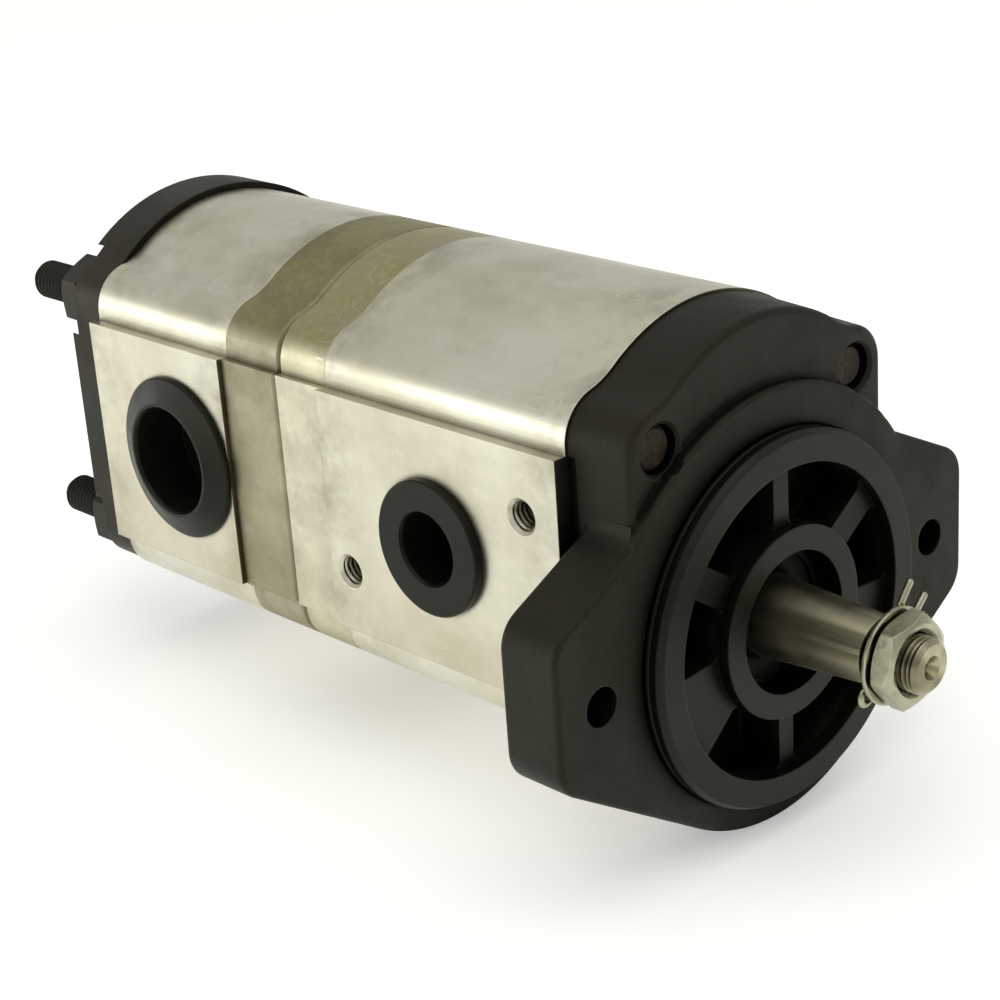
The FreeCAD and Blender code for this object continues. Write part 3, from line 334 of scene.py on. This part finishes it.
def drawn_aluminium(name, base, stain, rough, stain_amount, scratch_and_edge_highlight, ends, skin=None,
                    side_highlight=None):
    """Extruded and milled aluminium: lines along X, smudges, scratches, painted shade.

    Dirt gathers beside the ends; painted shade darkens corners, hollows and faces square to X,
    and the edges are lighter, partly wear and partly painted highlight. With a skin colour,
    everything but the two milled pads keeps a dull, mottled skin, with a painted highlight
    that makes it lighter at the sides.
    """
    s = Shader(name, Metallic=1.0)
    lines = s.noise(420, 3.0, stretch=LENGTHWISE)
    fine = s.noise(2200, 2.0, stretch=(0.02, 1.0, 1.0))
    clouds = s.noise(26, 5.0, 0.62)
    bands = s.noise(30, 3.0, stretch=(1.0, 0.4, 0.12))
    blots = s.noise(85, 4.0, 0.6)
    color = s.patch(base, stain, clouds, 0.38, 0.74, stain_amount)
    color = s.patch(color, shade(base, 0.75), lines, 0.3, 0.7, 0.18)
    color = s.patch(color, shade(stain, 0.9), bands, 0.45, 0.75, 0.3)
    color = s.patch(color, shade(stain, 0.6), blots, 0.62, 0.76, 0.3)
    pad = s.ramp(s.calc("ABSOLUTE", s.axis("Y")), *PAD_Y)
    if skin:
        color = s.mix(pad, drawn_skin(s, clouds, skin, side_highlight), color)
    color = handling_marks(s, color, stain, pad, ends)
    marks = scratch_marks(s)
    color = s.cover(color, scratch_and_edge_highlight, marks, 0.6)
    # Lighter edges: partly wear, partly painted highlight.
    color = s.cover(color, scratch_and_edge_highlight, s.edge_mask(BRIGHT_EDGE), 0.5)
    # Painted shade: darker in corners, on faces square to X and deep in hollows.
    color = s.cover(color, CORNER_SHADE, s.crevice(CORNER_SHADE_REACH), 0.8)
    color = s.cover(color, END_FACE_SHADE, s.facing("X"), 0.85)
    color = s.mix(s.crevice(HOLLOW_SHADE_REACH, 0.42, 0.15), color, HOLLOW_SHADE)
    shine = s.calc("ADD", s.ramp(clouds, 0.3, 0.75, rough - 0.06, rough + 0.12),
                   s.vary(fine, -0.04, 0.05))
    normal = s.bump(lines, 0.16, 0.05 * MM, s.bevel(MILLED_ROUNDING))
    normal = s.bump(fine, 0.10, 0.02 * MM, normal)
    normal = s.bump(marks, 0.25, 0.05 * MM, normal)
    return s.finish(color, shine, normal)


# ------------------------------------------------------------- steel, zinc, rubber

STREAKS = (0.03, 1.0, 1.0)             # stretch of the stains drawn out along a shaft
RINGS = (1.0, 0.01, 0.01)              # stretch of the turning marks around a shaft
# Reach of the painted shade in the corners of steel parts.
STEEL_SHADE_REACH = 2.0 * MM
STEEL_ROUNDING = 0.25 * MM
# Lighter edge colour of zinc plate: partly wear, partly painted highlight.
PLATED_EDGE = (0.70, 0.70, 0.58)
PLATED_ROUNDING = 0.3 * MM
# Reach of the painted shade in the corners of zinc plate.
PLATED_SHADE_REACH = 1.0 * MM
BARE_STUD_X = (-7.0 * MM, -6.0 * MM)   # the studs are black behind this, bare before it
STUD_BLACK = ((0.008, 0.008, 0.007), (0.018, 0.016, 0.014))
STUD_RUST = ((0.011, 0.008, 0.005), (0.032, 0.022, 0.014))
DUST = (0.06, 0.058, 0.05)
MOULDED_ROUNDING = 0.35 * MM


def turned_steel(name, base, tint, rough, ring_scale=420.0, brushed=0.0):
    """Ground or turned steel: fine rings across X, with faint staining and painted shade in
    corners.

    The brushed share of the shine spreads across the rings, so that highlights run along
    the shaft, and the rings' relief gives way to a dark film.
    """
    s = Shader(name, Metallic=1.0, Anisotropic=brushed, Anisotropic_Rotation=0.25)
    around = s.add("ShaderNodeTangent", direction_type="RADIAL", axis="X")
    s.feed(s.surface.inputs["Tangent"], around.outputs[0])
    rings = s.noise(ring_scale, 2.0, stretch=RINGS)
    stain = s.noise(140, 4.0)
    color = s.patch(base, tint, stain, 0.4, 0.72, 0.7)
    film = s.noise(95, 2.0, stretch=STREAKS)
    color = s.patch(color, shade(tint, 0.4), film, 0.40, 0.62, brushed)
    streaks = s.noise(900, 3.0, stretch=STREAKS)
    color = s.patch(color, shade(base, 0.6), streaks, 0.35, 0.7, 0.35)
    color = s.patch(color, shade(base, 0.7), rings, 0.3, 0.7, 0.08)
    # Painted shade: darker in corners.
    color = s.mix(s.crevice(STEEL_SHADE_REACH), color, shade(tint, 0.12))
    shine = s.vary(stain, rough - 0.03, rough + 0.04)
    normal = s.bump(rings, 0.04 * (1.0 - brushed), 0.03 * MM, s.bevel(STEEL_ROUNDING))
    return s.finish(color, shine, normal)


def plated_steel(name, base, tint, rough):
    """Zinc plate: clear metal with soft clouding, small scuffs, lighter edges (partly wear,
    partly painted highlight) and painted shade in corners.
    """
    s = Shader(name, Metallic=1.0)
    color = s.patch(base, tint, s.noise(230, 4.0), 0.38, 0.7)
    color = s.patch(color, shade(base, 0.8), s.noise(1500, 2.0), 0.64, 0.76, 0.2)
    # Lighter edges: partly wear, partly painted highlight.
    color = s.cover(color, PLATED_EDGE, s.edge_mask(PLATED_ROUNDING), 0.5)
    # Painted shade: darker in corners.
    color = s.cover(color, shade(tint, 0.15), s.crevice(PLATED_SHADE_REACH), 0.8)
    shine = s.vary(s.noise(500, 3.0), rough - 0.08, rough + 0.12)
    normal = s.bump(s.noise(1100, 2.0), 0.03, 0.05 * MM, s.bevel(PLATED_ROUNDING))
    return s.finish(color, shine, normal)


def stud_steel(name):
    """Black stud, rusty and bare at its front end."""
    s = Shader(name, Specular_IOR_Level=0.22, Specular_Tint=WARM)
    bare = s.ramp(s.axis("X"), *BARE_STUD_X)
    grain = s.noise(1400, 3.0)
    black = s.patch(*STUD_BLACK, grain, 0.35, 0.7)
    rust = s.patch(*STUD_RUST, s.noise(620, 4.0), 0.36, 0.66)
    shine = s.vary(grain, 0.42, 0.62)
    normal = s.bump(grain, 0.35, 0.12 * MM, s.bevel(0.3 * MM))
    return s.finish(s.mix(bare, black, rust), shine, normal)


def moulded_black(name, base, rough, texture):
    """Moulded black plastic or rubber with a fine matt surface and a little dust."""
    s = Shader(name, Specular_IOR_Level=0.18, Specular_Tint=WARM)
    color = s.patch(base, shade(base, 1.7), s.noise(90, 3.0), 0.35, 0.7)
    color = s.patch(color, DUST, s.noise(700, 2.0), 0.66, 0.76, 0.15)
    shine = s.vary(s.noise(160, 3.0), rough - 0.05, rough + 0.08)
    normal = s.bump(s.noise(texture, 2.0), 0.15, 0.05 * MM, s.bevel(MOULDED_ROUNDING))
    return s.finish(color, shine, normal)


# --------------------------------------------------------- materials of the slots

ALUMINIUM = (0.725, 0.708, 0.588)

# Material slot of the record: the function that builds it, then what the function is told.
SLOT_MATERIALS = {
    "front_cover_iron": (front_cover_iron,),
    "rear_cover_iron": (cast_black, (0.0110, 0.0094, 0.0060), (0.0200, 0.0150, 0.0095), 0.5),
    "stud_nut_black": (cast_black, (0.012, 0.012, 0.009), (0.022, 0.018, 0.013), 0.46),
    "front_body_aluminium": (
        drawn_aluminium, ALUMINIUM, (0.51, 0.475, 0.335), 0.34, 0.6, SCRATCH_AND_EDGE_HIGHLIGHT, JOINTS[0:2]),
    "rear_body_aluminium": (
        drawn_aluminium, ALUMINIUM, (0.50, 0.465, 0.325), 0.34, 0.65, SCRATCH_AND_EDGE_HIGHLIGHT, JOINTS[3:5]),
    # The plates' last two colours are the skin and its painted highlight at the sides.
    "front_plate_aluminium": (
        drawn_aluminium, (0.68, 0.66, 0.52), (0.52, 0.49, 0.35), 0.40, 0.6, SCRATCH_AND_EDGE_HIGHLIGHT,
        JOINTS[1:3], (0.39, 0.36, 0.175), (0.58, 0.55, 0.385)),
    "rear_plate_aluminium": (
        drawn_aluminium, (0.40, 0.38, 0.26), (0.30, 0.28, 0.175), 0.48, 0.8, DULL_SCRATCH_AND_EDGE_HIGHLIGHT,
        JOINTS[2:4], (0.305, 0.285, 0.14), (0.40, 0.38, 0.275)),
    "block_aluminium": (
        drawn_aluminium, (0.70, 0.69, 0.64), (0.50, 0.49, 0.44), 0.4, 0.4, SCRATCH_AND_EDGE_HIGHLIGHT, ()),
    "bush_bronze": (turned_steel, (0.62, 0.40, 0.20), (0.42, 0.27, 0.14), 0.32),
    "shaft_steel": (turned_steel, (0.56, 0.53, 0.36), (0.36, 0.325, 0.19), 0.22, 1400.0, 0.9),
    "gear_steel": (turned_steel, (0.50, 0.49, 0.46), (0.36, 0.34, 0.30), 0.25),
    "key_steel": (turned_steel, (0.42, 0.41, 0.38), (0.28, 0.26, 0.22), 0.35),
    "dowel_steel": (turned_steel, (0.50, 0.49, 0.47), (0.36, 0.35, 0.32), 0.25),
    "spring_steel": (turned_steel, (0.03, 0.029, 0.026), (0.02, 0.018, 0.016), 0.4),
    "zinc_plated": (plated_steel, (0.42, 0.42, 0.30), (0.32, 0.315, 0.21), 0.25),
    "stud_steel": (stud_steel,),
    "seal_rubber": (moulded_black, (0.002, 0.002, 0.002), 0.5, 1800),
    "plug_plastic": (moulded_black, (0.0045, 0.0045, 0.0035), 0.34, 1200),
}


def assign_materials():
    """One material per slot of the record, on every node that uses it."""
    made = {slot: build(slot, *looks) for slot, (build, *looks) in SLOT_MATERIALS.items()}
    for part in RECORD["subparts"]:
        mesh = frame["nodes"][part["node"]].data
        mesh.materials.clear()
        mesh.materials.append(made[part["material_slot"]])
    return made


# ------------------------------------------------------------------- cut threads

THREAD_PITCH = 1.25 * MM
THREAD_CREST = 0.42 * MM               # how far the ridge stands in from the wall
THREAD_ROOT = 0.02 * MM                # how far its foot goes into the wall
THREAD_START = 0.5 * MM
THREAD_DEPTH = 14.0 * MM
THREAD_STEPS = 40
# Ridge in section: share of the crest, then place along the hole in pitches.
THREAD_RIDGE = ((0.0, -0.48), (1.0, -0.08), (1.0, 0.08), (0.0, 0.48))
TAPPED_SLANT = math.radians(25.5)      # of the line through a port's two tapped holes


def thread_helix(name, radius):
    """Helical ridge inside a hole, along local -Z from its mouth."""
    bm = bmesh.new()
    turns = THREAD_DEPTH / THREAD_PITCH
    rows = []
    for i in range(int(turns * THREAD_STEPS) + 1):
        angle = 2 * math.pi * i / THREAD_STEPS
        depth = -THREAD_START - THREAD_PITCH * i / THREAD_STEPS
        row = []
        for inward, along in THREAD_RIDGE:
            r = radius + THREAD_ROOT - inward * THREAD_CREST
            row.append(bm.verts.new((r * math.cos(angle), r * math.sin(angle),
                                     depth + along * THREAD_PITCH)))
        rows.append(row)
    for lower, upper in zip(rows, rows[1:]):
        for k in range(len(THREAD_RIDGE) - 1):
            bm.faces.new((lower[k], lower[k + 1], upper[k + 1], upper[k]))
    for row in (rows[0], rows[-1]):
        bm.faces.new(row)
    bmesh.ops.recalc_face_normals(bm, faces=bm.faces)
    mesh = bpy.data.meshes.new(name)
    bm.to_mesh(mesh)
    bm.free()
    for polygon in mesh.polygons:
        polygon.use_smooth = True
    return mesh


def add_threads(material):
    """Threads in the four tapped holes of the front body."""
    for mount_name in ("front_inlet_bolts", "front_outlet_bolts"):
        mount = MOUNTS[mount_name]
        centre = Vector(mount["pos_m"])
        outward = Vector(mount["axis"])
        turn = outward.to_track_quat("Z", "Y").to_matrix().to_4x4()
        reach = mount["dims"]["pcd_mm"] * MM / 2
        for end in (-1, 1):
            place = centre + Vector((end * reach * math.cos(TAPPED_SLANT), 0,
                                     end * reach * math.sin(TAPPED_SLANT)))
            name = f"{mount_name}_thread_{'low' if end < 0 else 'high'}"
            mesh = thread_helix(name, mount["dims"]["hole_r_mm"] * MM)
            mesh.materials.append(material)
            piece = bpy.data.objects.new(name, mesh)
            piece.matrix_world = Matrix.Translation(place) @ turn
            bpy.context.scene.collection.objects.link(piece)
            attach(piece, "housing")


# --------------------------------------------------------------- floor and lights

FLOOR_Z = -48.0 * MM
FLOOR_HALF = 6.0
FLOOR_GLOW = (1.0, 1.0, 0.99, 1.0)
FLOOR_TONES = ((0.92, 0.92, 0.91), (0.94, 0.94, 0.935))
LIGHT_TARGET = (-0.08, 0.0, 0.015)
# Name, place and size in metres, power in watts.
SOFT_BOXES = (
    ("top_box", (0.15, -0.1, 1.2), (1.4, 1.2), 5.0),
    ("left_box", (-0.8, -0.85, 0.10), (1.5, 0.36), 3.2),
)
SURROUND_COLOR = (0.95, 0.95, 0.91, 1.0)
SURROUND_STRENGTH = 0.66


def add_floor():
    """Plain pale floor."""
    mesh = bpy.data.meshes.new("floor")
    corners = [(x * FLOOR_HALF, y * FLOOR_HALF, FLOOR_Z)
               for x, y in ((-1, -1), (1, -1), (1, 1), (-1, 1))]
    mesh.from_pydata(corners, [], [(0, 1, 2, 3)])
    s = Shader("floor_paper", Roughness=0.8, Specular_IOR_Level=0.2,
               Emission_Color=FLOOR_GLOW, Emission_Strength=0.34)
    mesh.materials.append(s.finish(s.mix(s.noise(3.0, 2.0), *FLOOR_TONES)))
    floor = bpy.data.objects.new("floor", mesh)
    bpy.context.scene.collection.objects.link(floor)


def add_lights():
    """Soft boxes above and at the left, in a pale surround."""
    for name, place, size, power in SOFT_BOXES:
        light = bpy.data.lights.new(name, "AREA")
        light.shape = "RECTANGLE"
        light.size, light.size_y = size
        light.energy = power
        holder = bpy.data.objects.new(name, light)
        aim = (Vector(LIGHT_TARGET) - Vector(place)).to_track_quat("-Z", "Y")
        holder.matrix_world = Matrix.Translation(place) @ aim.to_matrix().to_4x4()
        bpy.context.scene.collection.objects.link(holder)
    world = bpy.data.worlds.new("surround")
    world.use_nodes = True
    background = world.node_tree.nodes["Background"]
    background.inputs["Color"].default_value = SURROUND_COLOR
    background.inputs["Strength"].default_value = SURROUND_STRENGTH
    bpy.context.scene.world = world


# ------------------------------------------------------------------------- camera

AZIMUTH = math.radians(47.607)
ELEVATION = math.radians(21.677)
ROLL = math.radians(-4.131)
LENS = 81.978
SENSOR_WIDTH = 36.0
CLIP_START = 0.01
# Place of the camera in mm, along its own right, up and back.
CAMERA_RIGHT, CAMERA_UP, CAMERA_BACK = -58.113, 24.428, 477.66


def add_camera():
    """Camera at the viewing angle of the photograph."""
    back = Vector((math.sin(AZIMUTH) * math.cos(ELEVATION),
                   -math.cos(AZIMUTH) * math.cos(ELEVATION), math.sin(ELEVATION)))
    level = Vector((math.cos(AZIMUTH), math.sin(AZIMUTH), 0.0))
    upward = back.cross(level)
    right = level * math.cos(ROLL) + upward * math.sin(ROLL)
    up = upward * math.cos(ROLL) - level * math.sin(ROLL)
    camera = bpy.data.cameras.new("camera")
    camera.sensor_width = SENSOR_WIDTH
    camera.lens = LENS
    camera.clip_start = CLIP_START
    holder = bpy.data.objects.new("camera", camera)
    place = (right * CAMERA_RIGHT + up * CAMERA_UP + back * CAMERA_BACK) * MM
    turn = Matrix((right, up, back)).transposed().to_4x4()
    holder.matrix_world = Matrix.Translation(place) @ turn
    bpy.context.scene.collection.objects.link(holder)
    bpy.context.scene.camera = holder


materials = assign_materials()
add_threads(materials["front_body_aluminium"])
add_floor()
add_lights()
add_camera()
bpy.context.scene.view_settings.view_transform = "Standard"
